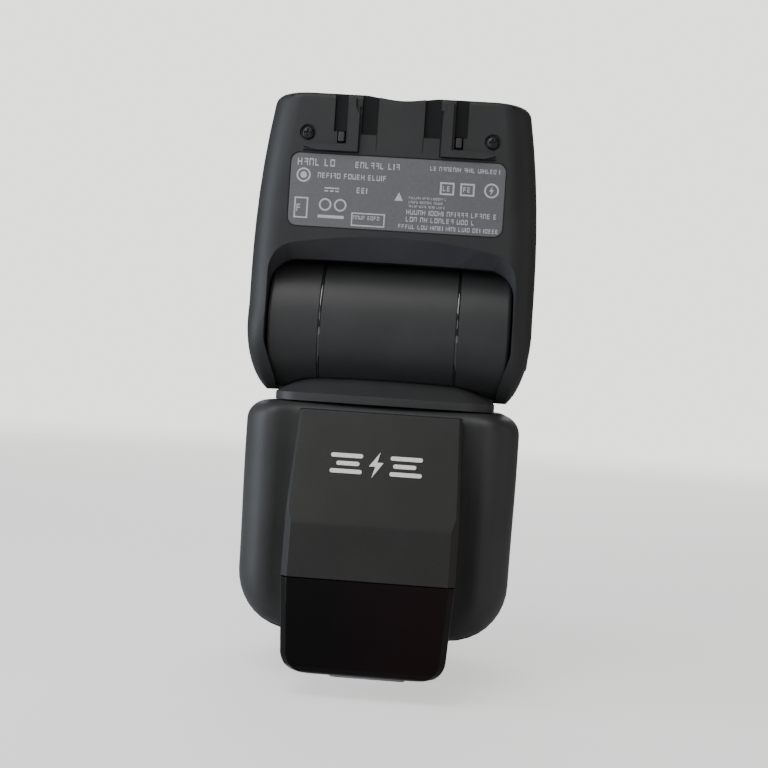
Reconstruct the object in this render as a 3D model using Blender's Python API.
"""A speedlight flash: a hot-shoe body, a swivelling neck and a tilting flash head with a zooming reflector.

The frame is the camera's: +Z up, -Y towards the subject, +X to the right of someone facing the flash.
The origin is the centre of the shoe foot's sole. At rest the head points straight up.
Drawing sizes are in millimetres, and MM turns them into Blender's metres.
"""

import math

import bmesh
import bpy
from mathutils import Matrix, Vector

MM = 0.001
GAP = 0.3

# Hinge and head
AXIS_Z = 86.0
HEAD_HALF_WIDTH = 34.4
HEAD_TAPER = 3.8
HEAD_TAPER_POWER = 2.3
HEAD_RIM = 2.4
HEAD_RIM_DEPTH = 1.2
HEAD_UNDER = 18.5
HEAD_BACK = 27.8
HEAD_END_Z = 140.8
HEAD_REAR = 18.4
HEAD_WALL = 2.0
HEAD_CORNER_FRONT = 7.0
HEAD_CORNER_BACK = 8.5
LOW_CORNER_IN = 8.4
LOW_CORNER_RISE = 20.0
ARM_GAP_HALF = 29.4
ARM_LIP_HALF = 27.0
SCOOP_DEPTH = 5.0
SCOOP_BACK_Y = -7.5
MOUTH_HALF = 26.9
MOUTH_CORNER = 5.0
CAP_X = HEAD_HALF_WIDTH - 1.05
DISC_R = 10.0
DISC_X = (8.0, 10.0)
CLICK_ANGLES = (0, 45, 60, 75, 90)
SHAFT_R = 5.0
SHAFT_BORE = SHAFT_R + GAP
CAP_R = 8.2
CAP_THICK = 0.9
LOCK_BUTTON_R = 4.2

# Details of the head's underside
RIB_LOW = 126.7
RIB_HIGH = 128.5
RIB_RAISE = 1.0
RIB_END = 22.8
SLOT_DEPTH = 0.8
INNER_SLOT = (5.5, 9.4, 131.2)
OUTER_SLOT = (12.8, 15.9, 131.6)
TAB_X = (13.2, 14.7)
TAB_Z = (129.2, 131.6)
HEAD_SCREW_XZ = (22.0, 131.0)
HEAD_SCREW_R = 1.5
LABEL_HALF = 25.5
LABEL_Z = (108.8, 126.1)
LABEL_CORNER = 2.1

# Barrel of the neck, which the head's arms turn round
BARREL_R = 17.2
BARREL_HALF = 29.1
BARREL_WALL = 1.9
BARREL_SEAM = 16.5
POCKET_R = BARREL_R + 0.4
POCKET_WALL_R = POCKET_R + 1.5
FLANGE_Z = (67.2, 69.1)
FLANGE_HALF = 26.7
FLANGE_DEPTH = 15.6
FLANGE_BULGE = 2.2
FLANGE_CORNER = 6.0
CROWN_TOP = 74.4
CROWN_HALF = 18.0
CROWN_DEPTH = 8.0
POST_R = 11.7
POST_LOW = 60.6
CABLE_WAY_R = 9.0
BUSH_R = 6.1
CORE_HALF = BARREL_HALF - 0.9

# Body
BODY_TOP = 66.9
BODY_LOW = 11.3
BODY_HALF = 33.1
BODY_LOW_HALF = 32.7
BODY_FRONT = -20.0
BODY_REAR_TOP = 30.0
REAR_SLOPE = 12.5 / 50.9
BODY_WALL = 1.8
BODY_SEAM_Y = 8.0
SIDE_CORNER = 9.0
LOW_CORNER = 14.5
TOP_CORNER = 5.0

# Nose on the body's front
NOSE_TOP = 65.5
NOSE_LOW = 5.5
NOSE_CREASE_Z = 39.8
NOSE_WIDEST_Z = 43.0
NOSE_WIDEST = 19.8
NOSE_TOP_HALF = 19.1
NOSE_LOW_HALF = 18.6
NOSE_CORNER = 5.0
WINDOW_TOP = 27.5
WINDOW_WALL = 1.3
NOSE_BACK = -15.0
EMITTER_XZ = (8.0, 19.0)
SENSOR_XZ = (-8.0, 19.0)

# Battery chamber and its door
CHAMBER_Y = (-11.4, 18.2)
CHAMBER_Z = (21.6, 50.6)
CHAMBER_X = (-28.3, 25.0)
CHAMBER_WALL = 1.1
DOOR_Y = (-12.2, 18.8)
DOOR_Z = (20.6, 51.4)
DOOR_PIN = (-30.9, 21.9)
DOOR_CORNER = 1.5
PIN_R = 0.6
CELL_Y = (-4.0, 10.8)
CELL_Z = (28.9, 43.3)

# Flat rear panel
PANEL_TILT = math.atan(REAR_SLOPE)
PANEL_MID_Z = 41.0
LCD_HALF = 22.5
LCD_Z = (-0.5, 21.0)
KEY_X = (-16.2, -5.4, 5.4, 16.2)
KEY_Z = -5.2
DIAL_XZ = (0.0, -16.5)
DIAL_R = 8.6
SIDE_KEYS = (
    ("wireless_button", 17.0, -12.2, 2.7),
    ("menu_button", -17.0, -12.2, 2.7),
    ("test_button", 17.0, -20.0, 2.4),
)
SWITCH_XZ = (-18.2, -19.4)
SWITCH_HALF = 1.8
SWITCH_TRAVEL = 5.0
LAMP_XZ = (10.8, -22.6)
KEY_BACK = -3.6

# Shoe foot
FOOT_HALF = 9.3
FOOT_PLATE = 2.0
COLLAR_R = 9.6
CONTACTS = ((0, 0, 1.1), (-2.9, -2.6, 0.6), (2.9, -2.6, 0.6), (-2.9, 3.6, 0.6), (2.9, 3.6, 0.6))
LEVER_Z = (6.6, 10.4)
LEVER_REACH = 31.0
LEVER_RING_R = 12.6
SPIGOT_R = 7.6
PIN_Y = -6.9

# Zoom mechanism, at its wide-angle end
MOUTH_Z = 135.0
CARRIAGE_Z = (123.6, 130.0)
SCREW_XY = (28.2, 9.0)
RAIL_XY = (-27.9, -8.0)
SCREW_R = 0.9
RAIL_R = 1.0
TUBE_Z = 127.6
REFLECTOR_DEPTH = 12.6
REFLECTOR_HALF = (24.6, 12.8)


# ---------------------------------------------------------------- building tools


def clear_scene():
    for obj in list(bpy.data.objects):
        bpy.data.objects.remove(obj)


def material(name, colour, roughness, metallic=0.0):
    made = bpy.data.materials.new(name)
    made.use_nodes = True
    shader = made.node_tree.nodes["Principled BSDF"]
    shader.inputs["Base Color"].default_value = (*colour, 1.0)
    shader.inputs["Roughness"].default_value = roughness
    shader.inputs["Metallic"].default_value = metallic
    return made


def object_from(name, bm):
    """A new object from a bmesh drawn in millimetres, with its faces pointing out."""
    bmesh.ops.recalc_face_normals(bm, faces=bm.faces)
    mesh = bpy.data.meshes.new(name)
    bm.to_mesh(mesh)
    bm.free()
    mesh.transform(Matrix.Scale(MM, 4))
    obj = bpy.data.objects.new(name, mesh)
    bpy.context.scene.collection.objects.link(obj)
    return obj


def loft(name, rings):
    """A closed solid through rings of equal length, each a list of (x, y, z), with flat ends."""
    bm = bmesh.new()
    rows = [[bm.verts.new(p) for p in ring] for ring in rings]
    for low, high in zip(rows, rows[1:]):
        for i in range(len(low)):
            j = (i + 1) % len(low)
            bm.faces.new((low[i], low[j], high[j], high[i]))
    bm.faces.new(rows[0][::-1])
    bm.faces.new(rows[-1])
    return object_from(name, bm)


def prism(name, outline, low, high, axis="Z"):
    """A flat outline given as pairs, pushed from low to high along an axis.

    The pairs are (x, y) along Z, (x, z) along Y and (y, z) along X.
    """
    place = {
        "X": lambda a, b, h: (h, a, b),
        "Y": lambda a, b, h: (a, h, b),
        "Z": lambda a, b, h: (a, b, h),
    }[axis]
    return loft(name, [[place(a, b, h) for a, b in outline] for h in (low, high)])


def rounded(corners, radii, steps=4):
    """The polygon with each corner replaced by an arc of its radius."""
    count = len(corners)
    if not hasattr(radii, "__len__"):
        radii = [radii] * count
    outline = []
    for i, (corner, radius) in enumerate(zip(corners, radii)):
        here = Vector(corner)
        before = Vector(corners[i - 1]) - here
        after = Vector(corners[(i + 1) % count]) - here
        turn = before.angle(after)
        if radius <= 0 or turn > math.pi - 1e-3:
            outline.append((here.x, here.y))
            continue
        reach = radius / math.tan(turn / 2)
        start = here + before.normalized() * reach
        end = here + after.normalized() * reach
        middle = (before.normalized() + after.normalized()).normalized()
        centre = here + middle * (radius / math.sin(turn / 2))
        first, last = start - centre, end - centre
        sweep = first.angle_signed(last)
        for k in range(steps + 1):
            share = k / steps
            angle = -sweep * share
            x = first.x * math.cos(angle) - first.y * math.sin(angle)
            y = first.x * math.sin(angle) + first.y * math.cos(angle)
            outline.append((centre.x + x, centre.y + y))
    return outline


def box_outline(half, low, high, radii, steps=4):
    """A rounded rectangle, symmetric about the second axis."""
    corners = [(half, low), (half, high), (-half, high), (-half, low)]
    return rounded(corners, radii, steps)


def box(name, x, y, z):
    """A plain box between three (low, high) pairs."""
    outline = [(x[0], y[0]), (x[1], y[0]), (x[1], y[1]), (x[0], y[1])]
    return prism(name, outline, z[0], z[1])


def circle(radius, centre=(0.0, 0.0), count=24):
    turn = 2 * math.pi / count
    return [
        (
            centre[0] + radius * math.cos((i + 0.5) * turn),
            centre[1] + radius * math.sin((i + 0.5) * turn),
        )
        for i in range(count)
    ]


def rod(name, radius, low, high, axis="Z", centre=(0.0, 0.0), count=24):
    return prism(name, circle(radius, centre, count), low, high, axis)


def turned(name, profile, axis="Z", centre=(0.0, 0.0), count=24):
    """A solid of revolution from (height, radius) pairs along an axis."""
    place = {
        "X": lambda a, b, h: (h, a, b),
        "Y": lambda a, b, h: (a, h, b),
        "Z": lambda a, b, h: (a, b, h),
    }[axis]
    rings = [[place(a, b, h) for a, b in circle(r, centre, count)] for h, r in profile]
    return loft(name, rings)


def boolean(target, other, operation="DIFFERENCE"):
    """Applies a Boolean at once, and removes the other shape."""
    modifier = target.modifiers.new(operation, "BOOLEAN")
    modifier.operation = operation
    modifier.solver = "EXACT"
    modifier.object = other
    bpy.context.view_layer.update()
    graph = bpy.context.evaluated_depsgraph_get()
    result = bpy.data.meshes.new_from_object(target.evaluated_get(graph))
    target.modifiers.clear()
    old = target.data
    target.data = result
    result.name = target.name
    bpy.data.meshes.remove(old)
    bpy.data.objects.remove(other)
    return target


def cut(target, *others):
    for other in others:
        boolean(target, other, "DIFFERENCE")
    return target


def join(target, *others):
    for other in others:
        boolean(target, other, "UNION")
    return target


def keep(target, other):
    return boolean(target, other, "INTERSECT")


def copy_of(source, name):
    made = bpy.data.objects.new(name, source.data.copy())
    bpy.context.scene.collection.objects.link(made)
    return made


def finish(obj, stuff, origin=None, parent=None, smooth=35.0):
    """Gives a piece its material, its shading and, where it moves, its origin on the joint's axis."""
    obj.data.materials.clear()
    obj.data.materials.append(stuff)
    obj.data.shade_smooth()
    obj.data.set_sharp_from_angle(angle=math.radians(smooth))
    if origin is not None:
        point = Vector(origin) * MM
        obj.data.transform(Matrix.Translation(-point))
        obj.location = point
    if parent is not None:
        obj.parent = parent
    return obj


# ---------------------------------------------------------------- outer shapes


def head_half_width(z):
    """Half the head's width at a height: a slight taper to the lens end and round lower corners."""
    widest = AXIS_Z + 8.0
    low_start = AXIS_Z - HEAD_REAR + LOW_CORNER_RISE
    if z > widest:
        share = (z - widest) / (HEAD_END_Z - widest)
        half = HEAD_HALF_WIDTH - HEAD_TAPER * share**HEAD_TAPER_POWER
        over = max(0.0, z - (HEAD_END_Z - HEAD_RIM))
        return half - HEAD_RIM + math.sqrt(max(0.0, HEAD_RIM**2 - over**2))
    if z < low_start:
        drop = min((low_start - z) / LOW_CORNER_RISE, 1.0)
        return HEAD_HALF_WIDTH - LOW_CORNER_IN * (1 - math.sqrt(1 - drop**2))
    return HEAD_HALF_WIDTH


def head_depth(z):
    """(front, back) of the head at a height: flat sides above a rounded rear end."""
    below = max(0.0, AXIS_Z - z)
    front = -HEAD_UNDER * math.sqrt(max(0.0, 1 - (below / HEAD_REAR) ** 2))
    back_start = AXIS_Z + 13.0
    drop = max(0.0, back_start - z) / (back_start - AXIS_Z + HEAD_REAR)
    back = HEAD_BACK * math.sqrt(max(0.0, 1 - drop**2))
    over = max(0.0, z - (HEAD_END_Z - HEAD_RIM_DEPTH))
    soften = HEAD_RIM_DEPTH - math.sqrt(max(0.0, HEAD_RIM_DEPTH**2 - over**2))
    return front + soften, back - soften


def head_ring(z, inset=0.0):
    half = head_half_width(z) - inset
    front, back = head_depth(z)
    front, back = front + inset, back - inset
    room = 0.46 * (back - front)
    corner_front = max(GAP, min(HEAD_CORNER_FRONT - inset, room))
    corner_back = max(GAP, min(HEAD_CORNER_BACK - inset, room))
    radii = [corner_front, corner_back, corner_back, corner_front]
    return [(x, y, z) for x, y in box_outline(half, front, back, radii, 5)]


def head_outer():
    lowest = AXIS_Z - HEAD_REAR
    heights = [lowest + drop for drop in (0.35, 1.2, 2.9, 5.4, 9.0, 13.75, 18.4, 24.0, 31.4)]
    heights += [112.0, 120.0, 128.0, 134.0, HEAD_END_Z - HEAD_RIM]
    heights += [HEAD_END_Z - drop for drop in (1.3, 0.7, 0.25, 0.0)]
    return loft("head_outer", [head_ring(z) for z in heights])


def head_cavity():
    """The hollow of the head, from over the barrel's pocket to the open lens end."""
    rings = [head_ring(z, HEAD_WALL) for z in (99.0, 112.0, 124.0, 133.5)]
    mouth = box_outline(MOUTH_HALF, -HEAD_UNDER + HEAD_WALL, HEAD_BACK - HEAD_WALL, MOUTH_CORNER, 5)
    for z in (135.5, HEAD_END_Z + 1):
        rings.append([(x, y, z) for x, y in mouth])
    hollow = loft("head_cavity", rings)
    wall = rod("pocket_wall", POCKET_WALL_R, -40, 40, "X", (0, AXIS_Z), 32)
    return cut(hollow, wall, head_scoop(HEAD_WALL))


def arch_outline(half, top, rise, corner):
    """The scoop's outline as (x, z): straight sides, round corners and a slightly arched top."""
    low = AXIS_Z - 30
    corners = [(ARM_LIP_HALF, low), (ARM_LIP_HALF, AXIS_Z - 14), (half, AXIS_Z - 5), (half, top - rise)]
    corners += [(0.5 * half, top - 0.25 * rise), (0, top)]
    corners += [(-x, z) for x, z in corners[4::-1]]
    return rounded(corners, [0, 8, 8, corner, 30, 60, 30, corner, 8, 8, 0], 4)


def head_scoop(grow=0.0):
    """Clears the neck through a quarter turn: wide at the head's face and closing on the barrel."""
    face = arch_outline(29.6 + grow, AXIS_Z + 21.3 + grow, 3.6, 7.0 + grow)
    neck = arch_outline(ARM_GAP_HALF + grow, AXIS_Z + 15.6 + grow, 0.4, 6.5 + grow)
    lead = [(2 * fx - nx, 2 * fz - nz) for (fx, fz), (nx, nz) in zip(face, neck)]
    stations = (
        (-HEAD_UNDER - SCOOP_DEPTH, lead),
        (-HEAD_UNDER, face),
        (-HEAD_UNDER + SCOOP_DEPTH + grow, neck),
        (SCOOP_BACK_Y + grow, neck),
    )
    return loft("scoop", [[(x, y, z) for x, z in outline] for y, outline in stations])


def pocket():
    """The room for the barrel between the arms, with a chamfered rim."""
    chamfer = 1.2
    half = ARM_GAP_HALF
    profile = [(-half, POCKET_R - chamfer), (-half + chamfer, POCKET_R)]
    profile += [(-h, r) for h, r in profile[::-1]]
    return turned("pocket", profile, "X", (0, AXIS_Z), 48)


def body_half_width(z):
    low_start = BODY_LOW + LOW_CORNER
    if z < low_start:
        return BODY_LOW_HALF - LOW_CORNER + math.sqrt(max(0.0, LOW_CORNER**2 - (low_start - z) ** 2))
    share = min(1.0, (z - low_start) / (56.0 - low_start))
    half = BODY_LOW_HALF + (BODY_HALF - BODY_LOW_HALF) * share
    over = max(0.0, z - (BODY_TOP - TOP_CORNER))
    return half - TOP_CORNER + math.sqrt(max(0.0, TOP_CORNER**2 - over**2))


def rear_y(z):
    return BODY_REAR_TOP + (BODY_TOP - z) * REAR_SLOPE


def body_ring(z, inset=0.0):
    """The body's plan section. A negative inset grows it."""
    level = min(max(z, BODY_LOW), BODY_TOP)
    half = body_half_width(level) - inset
    top_edge, low_edge = 3.0, 5.0
    up = max(0.0, level - (BODY_TOP - top_edge))
    down = max(0.0, BODY_LOW + low_edge - level)
    soft_up = top_edge - math.sqrt(max(0.0, top_edge**2 - up**2))
    soft_down = low_edge - math.sqrt(max(0.0, low_edge**2 - down**2))
    front = BODY_FRONT + soft_up + soft_down + inset
    back = rear_y(level) - soft_up - soft_down - inset
    corner = SIDE_CORNER - inset
    return [(x, y, z) for x, y in box_outline(half, front, back, corner, 5)]


def body_outer(inset=0.0):
    heights = [BODY_LOW + rise for rise in (0.0, 0.6, 2.0, 5.0, 9.0, LOW_CORNER)]
    heights += [44.0, 61.9, 64.6, 66.2, BODY_TOP]
    rings = [body_ring(z, inset) for z in heights]
    if inset < 0:
        rings[0] = [(x, y, BODY_LOW + inset) for x, y, _ in rings[0]]
        rings[-1] = [(x, y, BODY_TOP - inset) for x, y, _ in rings[-1]]
    return loft("body_outer", rings)


def body_cavity():
    heights = (BODY_LOW + BODY_WALL, 16.0, 20.0, 26.0, 44.0, 61.0, 64.0, BODY_TOP - BODY_WALL)
    return loft("body_cavity", [body_ring(z, BODY_WALL) for z in heights])


def nose_section(z, inset=0.0):
    """The nose's plan section: a flat front with small chamfers, wider chamfers under the crease."""
    stations = [(NOSE_LOW, -31.6), (6.1, -33.2), (7.6, -34.2), (WINDOW_TOP, -35.0)]
    stations += [(NOSE_CREASE_Z, -33.4), (NOSE_TOP, -23.6)]
    front = stations[-1][1]
    for (z0, y0), (z1, y1) in zip(stations, stations[1:]):
        if z0 <= z <= z1:
            front = y0 + (y1 - y0) * (z - z0) / (z1 - z0)
    above = z >= NOSE_WIDEST_Z
    if above:
        share = (z - NOSE_WIDEST_Z) / (NOSE_TOP - NOSE_WIDEST_Z)
        half = NOSE_WIDEST + (NOSE_TOP_HALF - NOSE_WIDEST) * share
    else:
        share = min(1.0, (z - NOSE_LOW) / (WINDOW_TOP - NOSE_LOW))
        half = NOSE_LOW_HALF + (NOSE_WIDEST - NOSE_LOW_HALF) * share
    drop = max(0.0, NOSE_LOW + NOSE_CORNER - z)
    half += math.sqrt(max(0.0, NOSE_CORNER**2 - drop**2)) - NOSE_CORNER
    soft = 1.0 if above else 2.0
    half, front = half - inset, front + inset
    return [(x, y, z) for x, y in box_outline(half, front, -8.0, [soft, 0, 0, soft], 3)]


def nose_block(low, high, inset=0.0):
    marks = [NOSE_LOW + rise for rise in (0.3, 1.1, 2.7, NOSE_CORNER)]
    marks += [WINDOW_TOP, NOSE_CREASE_Z, NOSE_WIDEST_Z]
    heights = [low] + [m for m in marks if low + 0.1 < m < high - 0.1] + [high]
    return loft("nose_block", [nose_section(z, inset) for z in heights])


# ---------------------------------------------------------------- head


def l_rib(side):
    """One of the two raised L-shaped guides that an accessory slides over, under the lens end."""
    top = HEAD_END_Z - 0.9
    outline = [(9.9, RIB_LOW), (20.0, RIB_LOW), (RIB_END, RIB_LOW + 0.2), (RIB_END, RIB_HIGH - 0.8)]
    outline += [(20.0, RIB_HIGH), (12.3, RIB_HIGH), (12.3, top), (10.8, top), (9.9, top - 3.5)]
    raised = [(side * x, z) for x, z in outline]
    return prism("rib", raised, -HEAD_UNDER - RIB_RAISE, -HEAD_UNDER + RIB_RAISE - 0.1, "Y")


def head_shell():
    """Both head covers in one piece, before the seam parts them."""
    shell = head_outer()
    cut(shell, head_cavity(), pocket(), head_scoop())
    cut(shell, box("neck_room", (-ARM_LIP_HALF, ARM_LIP_HALF), (-30, 40), (50, AXIS_Z - 10)))
    cut(shell, rod("shaft_bore", SHAFT_BORE, -CAP_X, CAP_X, "X", (0, AXIS_Z)))
    for side in (-1, 1):
        ends = sorted((side * (CAP_X - GAP), side * 37.0))
        cut(shell, rod("cap_seat", CAP_R + GAP, *ends, "X", (0, AXIS_Z)))
    return shell


def make_head(stuff):
    shell = head_shell()
    under = copy_of(shell, "head_bottom_cover")
    keep(under, box("front_half", (-50, 50), (-60, -GAP / 2), (40, 160)))
    for side in (-1, 1):
        join(under, l_rib(side))
        for near, far, low in (INNER_SLOT, OUTER_SLOT):
            ends = sorted((side * near, side * far))
            slot = box("slot", ends, (-30, -HEAD_UNDER + SLOT_DEPTH), (low, 150))
            cut(under, slot)
        tab_room = sorted((side * (TAB_X[0] - GAP), side * (TAB_X[1] + GAP)))
        cut(under, box("tab_room", tab_room, (-30, -10), (TAB_Z[0] - GAP, TAB_Z[1] + GAP)))
        centre = (side * HEAD_SCREW_XZ[0], HEAD_SCREW_XZ[1])
        screw_seat = rod("screw_seat", HEAD_SCREW_R + 0.4, -30, -HEAD_UNDER + 0.9, "Y", centre, 16)
        screw_hole = rod("screw_hole", 0.9, -30, -10, "Y", centre, 10)
        cut(under, screw_seat, screw_hole)
    dip = [(-9.2, 145), (-9.2, HEAD_END_Z), (-5.0, HEAD_END_Z - 1.0)]
    dip += [(-x, z) for x, z in dip[::-1]]
    cut(under, prism("rim_dip", dip, -30, -5, "Y"))
    label_low, label_high = LABEL_Z
    label_seat = box_outline(LABEL_HALF + GAP, label_low - GAP, label_high + GAP, LABEL_CORNER + 0.2, 3)
    cut(under, prism("label_seat", label_seat, -30, -HEAD_UNDER + 0.25, "Y"))
    finish(under, stuff["shell"], (0, 0, AXIS_Z))

    over = shell
    over.name = "head_top_cover"
    keep(over, box("back_half", (-50, 50), (GAP / 2, 60), (40, 160)))
    finish(over, stuff["shell"], (0, 0, AXIS_Z))

    film = box_outline(LABEL_HALF, label_low, label_high, LABEL_CORNER, 3)
    label = prism("rating_label", film, -HEAD_UNDER - 0.05, -HEAD_UNDER + 0.19, "Y")
    finish(label, stuff["label"])

    lens_half, near, far = MOUTH_HALF - 0.4, -HEAD_UNDER + HEAD_WALL + 0.4, 17.6
    lens_corners = [MOUTH_CORNER - 0.3, 1.8, 1.8, MOUTH_CORNER - 0.3]
    lens = prism("fresnel_lens", box_outline(lens_half, near, far, lens_corners, 4), 137.0, 139.3)
    finish(lens, stuff["clear"])
    make_tilt_parts(stuff)
    make_head_fixings(stuff)
    make_panels(stuff)
    make_zoom(stuff)


def make_tilt_parts(stuff):
    """The hollow shaft clamped in the arms, its click disc, the caps over its ends and the lock button."""
    shaft = rod("tilt_shaft", SHAFT_R, -CAP_X + 0.65, CAP_X - 2.55, "X", (0, AXIS_Z))
    cut(shaft, rod("shaft_hole", 3.3, -40, 40, "X", (0, AXIS_Z), 16))
    finish(shaft, stuff["steel"], (0, 0, AXIS_Z))

    disc = rod("detent_disc", DISC_R, *DISC_X, "X", (0, AXIS_Z), 32)
    cut(disc, rod("disc_hole", SHAFT_BORE, 5, 12, "X", (0, AXIS_Z)))
    for angle in CLICK_ANGLES:
        way = math.radians(angle - 90)
        notch_y, notch_z = DISC_R * math.cos(way), AXIS_Z + DISC_R * math.sin(way)
        cut(disc, rod("notch", 1.1, 5, 12, "X", (notch_y, notch_z), 8))
    finish(disc, stuff["steel"], (0, 0, AXIS_Z))

    for side, word in ((-1, "left"), (1, "right")):
        rises = ((0, CAP_R), (CAP_THICK - GAP, CAP_R), (CAP_THICK, CAP_R - GAP))
        profile = [(side * (CAP_X + rise), radius) for rise, radius in rises]
        cap = turned("hinge_cap_" + word, profile, "X", (0, AXIS_Z))
        if side > 0:
            cut(cap, rod("button_hole", LOCK_BUTTON_R + 0.4, 30, 40, "X", (0, AXIS_Z)))
        finish(cap, stuff["shell"])
    radius = LOCK_BUTTON_R
    profile = [(CAP_X - CAP_THICK, radius), (CAP_X + CAP_THICK - 0.1, radius)]
    profile.append((CAP_X + CAP_THICK + GAP, radius - 0.4))
    button = turned("bounce_lock_button", profile, "X", (0, AXIS_Z))
    finish(button, stuff["button"], (CAP_X, 0, AXIS_Z))


def make_head_fixings(stuff):
    for side, word in ((-1, "left"), (1, "right")):
        centre = (side * HEAD_SCREW_XZ[0], HEAD_SCREW_XZ[1])
        screw = rod("head_screw_" + word, HEAD_SCREW_R, -18.2, -17.3 - GAP, "Y", centre, 16)
        shank = rod("shank", 0.6, -17.8, -15.2, "Y", centre, 8)
        join(screw, shank)
        for width, height in ((1.9, 0.4), (0.4, 1.9)):
            x = (centre[0] - width / 2, centre[0] + width / 2)
            z = (centre[1] - height / 2, centre[1] + height / 2)
            cut(screw, box("drive", x, (-19, -17.85), z))
        finish(screw, stuff["black_steel"])
        ends = sorted((side * TAB_X[0], side * TAB_X[1]))
        tab = box("filter_tab_" + word, ends, (-19.0, -15.4), TAB_Z)
        stop_x = sorted((side * (TAB_X[0] - 1.0), side * (TAB_X[1] + 1.0)))
        join(tab, box("stop", stop_x, (-16.2, -15.4), (TAB_Z[0] - 1.0, TAB_Z[1] + 1.0)))
        finish(tab, stuff["button"], (side * sum(TAB_X) / 2, -17.0, sum(TAB_Z) / 2))


def make_panels(stuff):
    """The clear wide-angle panel and the white catchlight card, stored over the lens."""
    for name, half, near, far, kind in (
        ("wide_panel", 25.6, 19.4, 20.8, "clear"),
        ("catchlight_card", 25.0, 22.4, 23.2, "white"),
    ):
        panel = prism(name, box_outline(half, near, far, 0), 104.0, 139.6)
        lip = box("lip", (-7.0, 7.0), (near - 0.4, far + 0.4), (138.6, 140.0))
        join(panel, lip)
        finish(panel, stuff[kind], (0, (near + far) / 2, 122.0))


def make_zoom(stuff):
    """The reflector and tube on a carriage that a motor's screw moves behind the lens."""
    low, high = CARRIAGE_Z
    carriage = prism("zoom_carriage", box_outline(30.0, -14.4, 14.4, 1.5, 2), low, high)
    cut(carriage, prism("window", box_outline(24.9, -13.1, 13.1, 0), low - 5, high + 5))
    cut(carriage, rod("nut", SCREW_R + GAP, low - 5, high + 5, "Z", SCREW_XY, 12))
    cut(carriage, box("motor_room", (20, 35), (4.0, 20), (low - 5, high - 2.2)))
    cut(carriage, rod("slider", RAIL_R + 0.4, low - 5, high + 5, "Z", RAIL_XY, 12))
    finish(carriage, stuff["dark_plastic"], (0, 0, 127.0))

    wide, half = REFLECTOR_HALF
    outer, inner = [], []
    for i in range(13):
        y = half * (i / 6 - 1)
        z = MOUTH_Z - REFLECTOR_DEPTH * (1 - (y / half) ** 2)
        outer.append((y, z))
        inner.append((y * 0.94, min(z + 0.8, MOUTH_Z)))
    mirror = prism("reflector", outer + inner[::-1], -wide, wide, "X")
    finish(mirror, stuff["mirror"], (0, 0, 127.0))

    tube = turned(
        "flash_tube",
        [(-22.5, 2.4), (-20.0, 2.4), (-19.9, 1.9), (19.9, 1.9), (20.0, 2.4), (22.5, 2.4)],
        "X", (0, TUBE_Z), 12,
    )
    finish(tube, stuff["clear"], (0, 0, TUBE_Z))

    motor = rod("zoom_motor", 3.3, 104.6, 113.2, "Z", SCREW_XY, 20)
    finish(motor, stuff["steel"])
    lead = rod("zoom_screw", SCREW_R, 113.5, 133.0, "Z", SCREW_XY, 12)
    finish(lead, stuff["steel"], (*SCREW_XY, 126.0))
    rail = rod("zoom_rail", RAIL_R, 105.6, 133.0, "Z", RAIL_XY, 12)
    finish(rail, stuff["steel"])


# ---------------------------------------------------------------- neck


def flange_outline(half, depth, bulge, corner):
    corners = [(half, -depth), (half, depth), (-half, depth), (-half, -depth), (0, -depth - bulge)]
    return rounded(corners, [corner, corner, corner, corner, 60], 4)


def crown(grow=0.0):
    """The low hump between the neck's flange and the barrel."""
    low, high = FLANGE_Z[1], CROWN_TOP
    wide = flange_outline(FLANGE_HALF + grow, FLANGE_DEPTH + grow, FLANGE_BULGE, FLANGE_CORNER)
    narrow = flange_outline(CROWN_HALF + grow, CROWN_DEPTH + grow, 1.0, 4.0)
    rings = [[(x, y, low + grow * 0.4) for x, y in wide], [(x, y, high + grow) for x, y in narrow]]
    return loft("crown", rings)


def make_neck(stuff):
    outline = flange_outline(FLANGE_HALF, FLANGE_DEPTH, FLANGE_BULGE, FLANGE_CORNER)
    base = prism("turret_base", outline, *FLANGE_Z)
    join(base, crown())
    core = BARREL_R - BARREL_WALL - GAP
    join(base, rod("core", core, -CORE_HALF, CORE_HALF, "X", (0, AXIS_Z), 32))
    join(base, rod("post", POST_R, POST_LOW, 70.0, "Z", (0, 0), 32))
    cut(base, rod("hollow", core - 2.2, -CORE_HALF + 2.4, CORE_HALF - 2.4, "X", (0, AXIS_Z), 24))
    cut(base, rod("shaft_room", BUSH_R + GAP, -40, 40, "X", (0, AXIS_Z)))
    cut(base, rod("cable_way", CABLE_WAY_R, 50, 78, "Z", (0, 0), 24))
    finish(base, stuff["shell"])

    for name, low, high in (
        ("barrel_left_cover", -BARREL_HALF, -BARREL_SEAM - 0.2),
        ("barrel_centre_cover", -BARREL_SEAM + 0.2, BARREL_SEAM - 0.2),
        ("barrel_right_cover", BARREL_SEAM + 0.2, BARREL_HALF),
    ):
        make_barrel_cover(name, low, high, stuff)

    for side, word in ((-1, "left"), (1, "right")):
        ends = sorted((side * (CORE_HALF - 2.2), side * CORE_HALF))
        bush = rod("tilt_bush_" + word, BUSH_R, *ends, "X", (0, AXIS_Z))
        cut(bush, rod("bush_bore", 5.25, -40, 40, "X", (0, AXIS_Z)))
        finish(bush, stuff["brass"])

    spring = box("click_spring", (7.4, 10.6), (DISC_R + 1.0, DISC_R + 1.7), (AXIS_Z - 4, AXIS_Z + 4))
    join(spring, box("nub", DISC_X, (DISC_R + GAP, DISC_R + 1.2), (AXIS_Z - 0.6, AXIS_Z + 0.6)))
    finish(spring, stuff["steel"])

    ring = rod("swivel_retainer", POST_R + 3.3, 62.4, 64.6, "Z", (0, 0), 32)
    cut(ring, rod("ring_hole", POST_R + GAP, 60, 70, "Z", (0, 0), 32))
    finish(ring, stuff["steel"])


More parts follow.
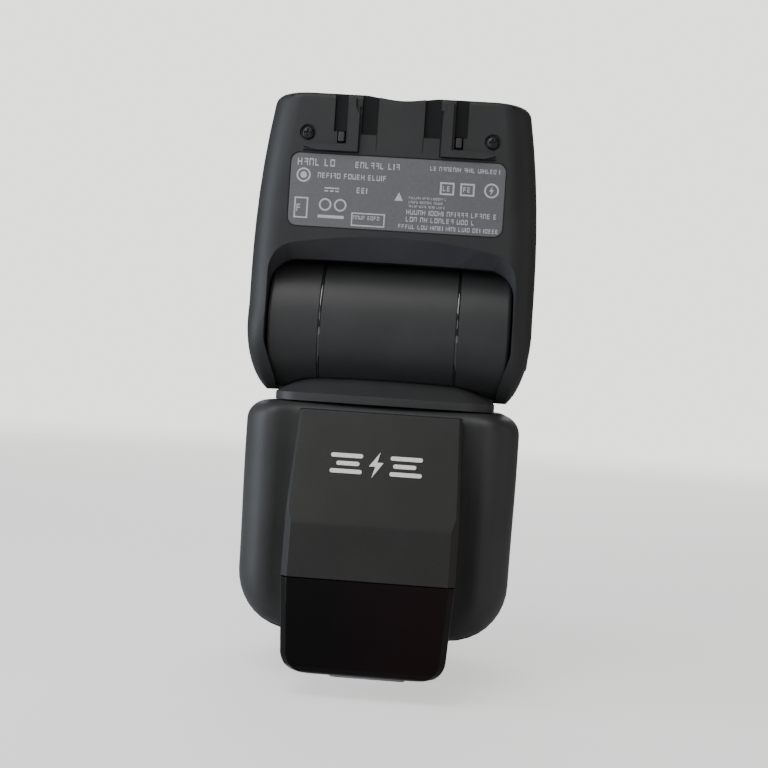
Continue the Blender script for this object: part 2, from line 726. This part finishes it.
def make_barrel_cover(name, low, high, stuff):
    """A skin over one stretch of the barrel, open below where the crown is."""
    edge, seam_edge = 0.5, 0.25
    left_end = BARREL_R - (edge if low < -BARREL_SEAM - 1 else seam_edge)
    right_end = BARREL_R - (edge if high > BARREL_SEAM + 1 else seam_edge)
    profile = [(low, left_end), (low + edge, BARREL_R), (high - edge, BARREL_R), (high, right_end)]
    cover = turned(name, profile, "X", (0, AXIS_Z), 48)
    bore = BARREL_R - BARREL_WALL
    cut(cover, rod("cover_bore", bore, -BARREL_HALF + 0.7, BARREL_HALF - 0.7, "X", (0, AXIS_Z), 32))
    cut(cover, rod("end_bore", BUSH_R + 0.5, -40, 40, "X", (0, AXIS_Z)))
    cut(cover, crown(GAP))
    cut(cover, box("crown_room", (-26.0, 26.0), (-7, 7), (60, 72)))
    cut(cover, box("flange_room", (-30, 30), (-20, 20), (60, FLANGE_Z[1] + GAP)))
    finish(cover, stuff["shell"])


# ---------------------------------------------------------------- body


def door_side(grow):
    y = (DOOR_Y[0] - grow, DOOR_Y[1] + grow)
    z = (DOOR_Z[0] - grow, DOOR_Z[1] + grow)
    corners = [(y[0], z[0]), (y[1], z[0]), (y[1], z[1]), (y[0], z[1])]
    radii = [0, 0, DOOR_CORNER + grow, DOOR_CORNER + grow]
    return prism("door_side", rounded(corners, radii, 3), -45, -24, "X")


def make_body(stuff, panel):
    shell = body_outer()
    cut(shell, body_cavity())

    door = copy_of(shell, "battery_door")
    keep(door, door_side(0.0))
    rib_y = (DOOR_Y[0] + 1.6, DOOR_Y[1] - 1.6)
    rib = box("rib", (-32.4, -29.4), rib_y, (DOOR_Z[0] + 0.15, DOOR_Z[0] + 2.7))
    keep(rib, body_outer(0.2))
    join(door, rib)
    cut(door, rod("pin_bore", PIN_R + GAP, -40, 40, "Y", DOOR_PIN, 12))
    finish(door, stuff["shell"], (DOOR_PIN[0], 0, DOOR_PIN[1]))
    plate = box("door_contact_plate", (-30.5, -29.5), (-9.0, 16.0), (26.0, 48.5))
    finish(plate, stuff["steel"])
    pin = rod("door_hinge_pin", PIN_R, DOOR_Y[0] - 1.4, DOOR_Y[1] + 1.4, "Y", DOOR_PIN, 10)
    finish(pin, stuff["steel"])

    cut(shell, door_side(GAP))
    cut(shell, rod("pin_seat", PIN_R + GAP, DOOR_Y[0] - 1.8, DOOR_Y[1] + 1.8, "Y", DOOR_PIN, 12))
    cut(shell, rod("post_hole", POST_R + 0.4, 60, 70, "Z", (0, 0), 32))
    cut(shell, rod("foot_hole", SPIGOT_R + 0.4, 5, 20, "Z", (0, 0), 24))

    front = copy_of(shell, "body_front_cover")
    keep(front, box("front_side", (-50, 50), (-60, BODY_SEAM_Y - GAP / 2), (0, 90)))
    finish(front, stuff["shell"])
    rear = shell
    rear.name = "body_rear_cover"
    keep(rear, box("rear_side", (-50, 50), (BODY_SEAM_Y + GAP / 2, 80), (0, 90)))
    cut_panel_openings(rear, panel)
    finish(rear, stuff["shell"])

    chamber = box(
        "battery_box",
        (CHAMBER_X[0], CHAMBER_X[1] + CHAMBER_WALL),
        (CHAMBER_Y[0] - CHAMBER_WALL, CHAMBER_Y[1] + CHAMBER_WALL),
        (CHAMBER_Z[0] - CHAMBER_WALL, CHAMBER_Z[1] + CHAMBER_WALL),
    )
    cut(chamber, box("chamber", (-40, CHAMBER_X[1]), CHAMBER_Y, CHAMBER_Z))
    finish(chamber, stuff["dark_plastic"])
    contacts = box("battery_contacts", (23.6, 24.7), (-9.5, 16.3), (23.4, 48.8))
    for y in CELL_Y:
        for z in CELL_Z:
            bump = turned("bump", [(20.9, 1.6), (24.0, 3.4)], "X", (y, z), 12)
            join(contacts, bump)
    finish(contacts, stuff["steel"])
    capacitor = rod("main_capacitor", 5.3, -23, 23, "X", (20.4, 57.2), 24)
    finish(capacitor, stuff["dark_plastic"])


def make_nose(stuff):
    """The raised column on the front, and the dark window that wraps its lower end."""
    nose = nose_block(WINDOW_TOP + GAP, NOSE_TOP)
    nose.name = "nose_cover"
    stub = nose_block(NOSE_LOW + 1.7, WINDOW_TOP + 4, WINDOW_WALL + GAP)
    join(nose, stub)
    cut(nose, box("behind", (-40, 40), (NOSE_BACK, 0), (0, 80)))
    cut(nose, body_outer(-GAP))
    hollow = [(15.5, -31.6), (15.5, -8.0), (-15.5, -8.0), (-15.5, -31.6)]
    rings = [[(x, y, 13.4) for x, y in hollow], [(x, y, 38.0) for x, y in hollow]]
    rings.append([(x, max(y, -23.0), 61.0) for x, y in hollow])
    cut(nose, loft("nose_hollow", rings))
    cut(nose, rod("emitter_port", 4.4, -40, -30, "Y", EMITTER_XZ, 20))
    cut(nose, rod("sensor_port", 3.2, -40, -30, "Y", SENSOR_XZ, 16))
    finish(nose, stuff["shell"])

    window = nose_block(NOSE_LOW, WINDOW_TOP)
    window.name = "af_window"
    cut(window, nose_block(NOSE_LOW + WINDOW_WALL, WINDOW_TOP + 3, WINDOW_WALL))
    cut(window, box("behind", (-40, 40), (-23.5, 0), (0, 80)))
    finish(window, stuff["red_window"])

    emitter = turned("af_emitter", [(-32.4, 2.6), (-31.6, 3.9), (-24.5, 3.9)], "Y", EMITTER_XZ, 20)
    finish(emitter, stuff["clear"])
    sensor = turned("wireless_sensor", [(-32.4, 1.8), (-31.8, 2.7), (-27.5, 2.7)], "Y", SENSOR_XZ, 16)
    finish(sensor, stuff["clear"])


# ---------------------------------------------------------------- rear panel


def rear_panel():
    """An empty on the slanted rear face: local X is the row's X, local Z runs up the face."""
    empty = bpy.data.objects.new("rear_panel", None)
    bpy.context.scene.collection.objects.link(empty)
    empty.location = Vector((0, rear_y(PANEL_MID_Z), PANEL_MID_Z)) * MM
    empty.rotation_euler = (PANEL_TILT, 0, 0)
    bpy.context.view_layer.update()
    return empty


def on_panel(obj, panel):
    """Carries a shape drawn in the panel's own frame to its place on the slanted face."""
    obj.parent = panel
    bpy.context.view_layer.update()
    return obj


def cut_panel_openings(rear, panel):
    """The display's window, the holes for the keys and dial, and the power switch's slot."""
    window = box_outline(LCD_HALF + 1.6, LCD_Z[0] - 1.3, LCD_Z[1] + 1.3, 1.8, 3)
    cut(rear, on_panel(prism("lcd_opening", window, -6, 5, "Y"), panel))
    for x in KEY_X:
        hole = [(x + a, KEY_Z + b) for a, b in box_outline(4.2, -1.6, 1.6, 1.5, 3)]
        cut(rear, on_panel(prism("key_hole", hole, -6, 5, "Y"), panel))
    for _, x, z, radius in SIDE_KEYS:
        cut(rear, on_panel(rod("hole", radius + GAP, -6, 5, "Y", (x, z), 20), panel))
    cut(rear, on_panel(rod("dial_seat", DIAL_R + GAP, -6, 5, "Y", DIAL_XZ, 32), panel))
    x, z = SWITCH_XZ
    reach = (x - SWITCH_HALF - GAP, x + SWITCH_HALF + SWITCH_TRAVEL + GAP)
    cut(rear, on_panel(box("switch_slot", reach, (-6, 5), (z - 1.6, z + 1.6)), panel))
    cut(rear, on_panel(rod("lamp_hole", 1.2, -6, 5, "Y", LAMP_XZ, 12), panel))


def make_panel_parts(stuff, panel):
    glass_outline = box_outline(LCD_HALF + 1.3, LCD_Z[0] - 1.0, LCD_Z[1] + 1.0, 1.5, 3)
    glass = prism("lcd_window", glass_outline, -1.5, 0.2, "Y")
    finish(on_panel(glass, panel), stuff["smoke"])
    display = prism("lcd_panel", box_outline(LCD_HALF, *LCD_Z, 0), -5.4, -2.0, "Y")
    finish(on_panel(display, panel), stuff["display"])
    board = box("main_board", (-26, 26), (-8.6, -7.2), (-21.5, 9.0))
    finish(on_panel(board, panel), stuff["board"])

    for number, x in enumerate(KEY_X, 1):
        key = key_cap(f"function_button_{number}", box_outline(3.9, -1.3, 1.3, 1.25, 3), 5.2, 2.4)
        finish(on_panel(key, panel), stuff["button"])
        key.location = Vector((x, 0, KEY_Z)) * MM
    for name, x, z, radius in SIDE_KEYS:
        key = key_cap(name, circle(radius, count=20), radius + 1.0, radius + 1.0)
        finish(on_panel(key, panel), stuff["button"])
        key.location = Vector((x, 0, z)) * MM

    profile = [(KEY_BACK + 0.2, DIAL_R - 1.0), (0.9, DIAL_R), (2.2, DIAL_R - 0.3), (2.6, DIAL_R - 0.9)]
    dial = turned("select_dial", profile, "Y", count=40)
    cut(dial, rod("dial_hole", 4.6, -6, 5, "Y", count=24))
    finish(on_panel(dial, panel), stuff["button"])
    dial.location = Vector((DIAL_XZ[0], 0, DIAL_XZ[1])) * MM
    centre = turned("set_button", [(KEY_BACK + 0.2, 4.2), (1.5, 4.2), (1.9, 3.8)], "Y", count=24)
    finish(on_panel(centre, panel), stuff["button"])
    centre.location = Vector((DIAL_XZ[0], 0, DIAL_XZ[1])) * MM

    knob = box("power_switch", (-SWITCH_HALF, SWITCH_HALF), (-2.2, 1.5), (-1.3, 1.3))
    plate = box("plate", (-2.6, 2.6), (-3.4, -2.1), (-2.6, 2.6))
    join(knob, plate)
    finish(on_panel(knob, panel), stuff["button"])
    knob.location = Vector((SWITCH_XZ[0], 0, SWITCH_XZ[1])) * MM
    lamp = rod("link_lamp", 0.9, -2.6, 0.25, "Y", LAMP_XZ, 12)
    finish(on_panel(lamp, panel), stuff["clear"])


def key_cap(name, outline, flange_half, flange_height):
    """A key with a cap over the panel and a flange behind it, drawn about its own centre."""
    small = [(x * 0.93, z * 0.93) for x, z in outline]
    rings = [[(x, -2.4, z) for x, z in outline], [(x, 0.8, z) for x, z in outline]]
    rings.append([(x, 1.1, z) for x, z in small])
    cap = loft(name, rings)
    flange = box("flange", (-flange_half, flange_half), (KEY_BACK, -2.3), (-flange_height, flange_height))
    return join(cap, flange)


# ---------------------------------------------------------------- shoe foot


def make_foot(stuff):
    foot = prism("foot_base", box_outline(FOOT_HALF, -9.0, 9.0, 1.2, 2), 0.0, FOOT_PLATE)
    join(foot, prism("neck", box_outline(6.1, -8.4, 8.4, 0.8, 2), 1.0, 5.2))
    join(foot, rod("collar", COLLAR_R, 4.6, BODY_LOW - GAP, "Z", (0, 0), 32))
    join(foot, rod("spigot", SPIGOT_R, 10.0, 15.6, "Z", (0, 0), 24))
    cut(foot, prism("contact_room", box_outline(4.6, -4.4, 5.4, 0.5, 2), -3, 4.4))
    cut(foot, rod("pin_way", 1.0 + GAP, -3, 18, "Z", (0, PIN_Y), 12))
    finish(foot, stuff["steel"])

    block = prism("contact_pins", box_outline(4.3, -4.1, 5.1, 0.3, 2), 1.2, 3.2)
    for x, y, radius in CONTACTS:
        join(block, turned("pin", [(0.15, radius * 0.8), (0.4, radius), (1.6, radius)], "Z", (x, y), 12))
    finish(block, stuff["brass"], (0, 0, 2.0))

    pin = turned("lock_pin", [(0.4, 0.7), (0.8, 1.0), (9.0, 1.0)], "Z", (0, PIN_Y), 12)
    finish(pin, stuff["steel"], (0, PIN_Y, 4.0))

    low, high = LEVER_Z
    lever = rod("lock_lever", LEVER_RING_R, low, high, "Z", (0, 0), 40)
    arm = [(-4.8, 6.0), (4.8, 6.0), (4.2, LEVER_REACH), (-4.2, LEVER_REACH)]
    join(lever, prism("arm", rounded(arm, [0, 0, 2.0, 2.0], 3), low, high))
    cut(lever, rod("ring_hole", COLLAR_R + GAP, 0, 20, "Z", (0, 0), 40))
    cut(lever, box("button_room", (-2.3, 2.3), (LEVER_REACH - 4.0, 50), (low + 1.0, 20)))
    finish(lever, stuff["shell"], (0, 0, 8.5))
    button_y = (LEVER_REACH - 2.9, LEVER_REACH + 0.7)
    button = box("lock_release_button", (-2.0, 2.0), button_y, (low + 1.3, high - 0.1))
    finish(button, stuff["button"], (0, LEVER_REACH, 9.0))


# ---------------------------------------------------------------- the whole flash


def make_materials():
    return {
        "shell": material("matte_black", (0.020, 0.020, 0.021), 0.55),
        "button": material("key_black", (0.028, 0.028, 0.030), 0.5),
        "dark_plastic": material("inner_black", (0.03, 0.03, 0.03), 0.6),
        "red_window": material("dark_red_window", (0.030, 0.004, 0.006), 0.08),
        "label": material("grey_label", (0.12, 0.12, 0.13), 0.45),
        "clear": material("clear_plastic", (0.85, 0.87, 0.88), 0.08),
        "smoke": material("display_window", (0.05, 0.055, 0.06), 0.1),
        "display": material("display", (0.25, 0.30, 0.24), 0.4),
        "white": material("white_card", (0.85, 0.85, 0.83), 0.5),
        "steel": material("steel", (0.55, 0.55, 0.56), 0.35, 1.0),
        "black_steel": material("black_steel", (0.05, 0.05, 0.05), 0.35, 1.0),
        "mirror": material("reflector_metal", (0.85, 0.85, 0.86), 0.12, 1.0),
        "brass": material("brass", (0.72, 0.53, 0.24), 0.35, 1.0),
        "board": material("circuit_board", (0.02, 0.12, 0.05), 0.5),
    }


def main():
    clear_scene()
    stuff = make_materials()
    panel = rear_panel()
    make_head(stuff)
    make_neck(stuff)
    make_body(stuff, panel)
    make_nose(stuff)
    make_panel_parts(stuff, panel)
    make_foot(stuff)


main()
